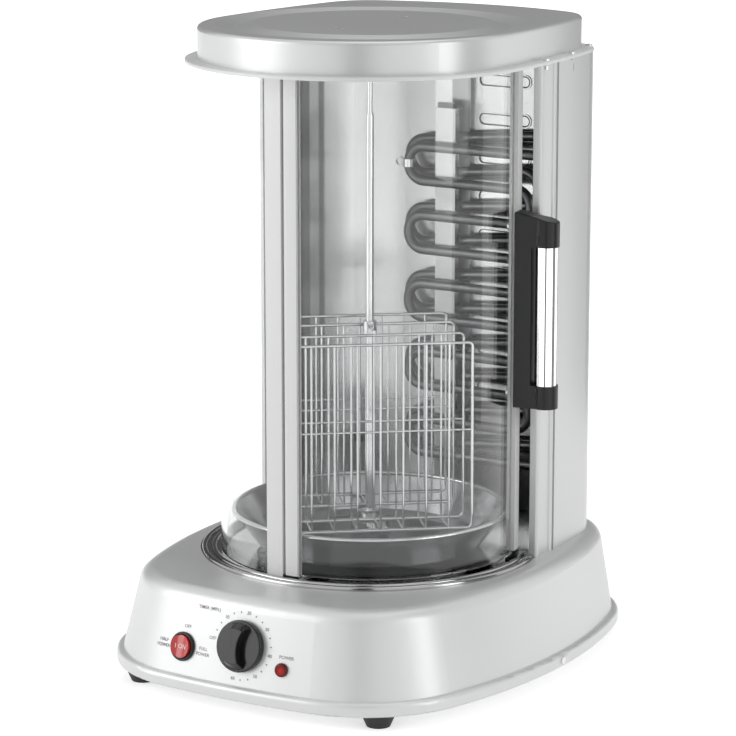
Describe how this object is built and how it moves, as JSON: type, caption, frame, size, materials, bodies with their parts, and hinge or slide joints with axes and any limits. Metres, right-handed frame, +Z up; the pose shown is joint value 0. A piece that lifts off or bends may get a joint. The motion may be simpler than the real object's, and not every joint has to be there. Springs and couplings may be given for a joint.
{
  "type": "vertical skewer grill",
  "caption": "Countertop vertical electric rotisserie grill: oval base with knob, switch and lamp, curved glass door, rotating twin meat basket in front of a coil heater, domed lid.",
  "frame": {"origin": "on the table under the spindle axis", "axes": "+Z up, front towards -Y, +X to the right when facing the front"},
  "size_m": [0.3258, 0.3864, 0.4735],
  "materials": {
    "silver_paint": "satin silver-white paint",
    "lid_paint": "satin silver-white paint",
    "steel": "bare sheet steel, polished inside",
    "chrome": "bright chrome plate",
    "black_plastic": "black moulded plastic",
    "knob_plastic": "black, slightly shiny",
    "red_plastic": "red, translucent look",
    "clear_glass": "clear tempered glass",
    "heater_steel": "dark heat-tinted tube",
    "ceramic": "ceramic bead",
    "rubber": "black rubber",
    "motor_metal": "zinc-plated can",
    "grey_plastic": "grey plastic",
    "screw_steel": "plated screws",
    "aluminium": "anodised extrusion"
  },
  "bodies": {
    "cabinet": {"base_shell": "silver_paint", "base_tray": "silver_paint", "chamber_liner": "steel", "cord_gland": "black_plastic", "door_rest": "black_plastic", "drip_pan": "chrome", "feet": "rubber", "fixed_front_stile": "aluminium", "fixed_side_stile": "aluminium", "flange_plate": "silver_paint", "flange_screws": "screw_steel", "floor_bush": "black_plastic", "floor_pan": "steel", "foot_screws": "screw_steel", "front_profile_left": "silver_paint", "front_profile_right": "silver_paint", "gear_motor": "motor_metal", "glass_fixed": "clear_glass", "heat_limiter": "black_plastic", "heater_bracket": "steel", "heater_clip": "chrome", "heater_front": "heater_steel", "heater_rear": "heater_steel", "heater_terminals": "ceramic", "hinge_bushes": "black_plastic", "junction_block": "grey_plastic", "lamp_body": "grey_plastic", "lamp_lens": "red_plastic", "lid_drum": "lid_paint", "lid_screws": "screw_steel", "liner_channel": "steel", "motor_screws": "screw_steel", "motor_spacers": "steel", "rear_housing": "silver_paint", "switch_bezel": "black_plastic", "timer_body": "black_plastic", "top_bearing": "steel", "tray_screws": "screw_steel"},
    "door": {"glass_door": "clear_glass", "door_hinge_stile": "aluminium", "door_latch_stile": "aluminium", "hinge_pins": "screw_steel", "handle_body": "black_plastic", "handle_grip": "chrome", "handle_screws": "screw_steel"},
    "rotor": {"drive_shaft": "screw_steel", "drive_socket": "chrome", "spit_rod": "chrome", "carrier_bottom": "steel", "carrier_top": "chrome", "basket_front_floor": "chrome", "basket_front_inner": "chrome", "basket_front_outer": "chrome", "basket_rear_floor": "chrome", "basket_rear_inner": "chrome", "basket_rear_outer": "chrome"},
    "timer_dial": {"timer_knob": "knob_plastic", "timer_shaft": "screw_steel"},
    "rocker": {"switch_rocker": "red_plastic"}
  },
  "joints": [
    {"name": "door_hinge", "type": "hinge", "parent": "cabinet", "child": "door", "pos_m": [0.00088, -0.1105, 0.0849], "axis": [0, 0, -1], "range_deg": [0, 95]},
    {"name": "rotisserie_spin", "type": "hinge", "parent": "cabinet", "child": "rotor", "pos_m": [0, 0, 0.1], "axis": [0, 0, 1], "continuous": true},
    {"name": "timer_knob_turn", "type": "hinge", "parent": "cabinet", "child": "timer_dial", "pos_m": [0.0022, -0.1766, 0.0481], "axis": [0.0035, -0.9728, 0.2315], "range_deg": [-190, 85]},
    {"name": "switch_rocker_tilt", "type": "hinge", "parent": "cabinet", "child": "rocker", "pos_m": [-0.04832, -0.17569, 0.03967], "axis": [0.0182, 0.2308, 0.9728], "range_deg": [-8, 8]}
  ]
}
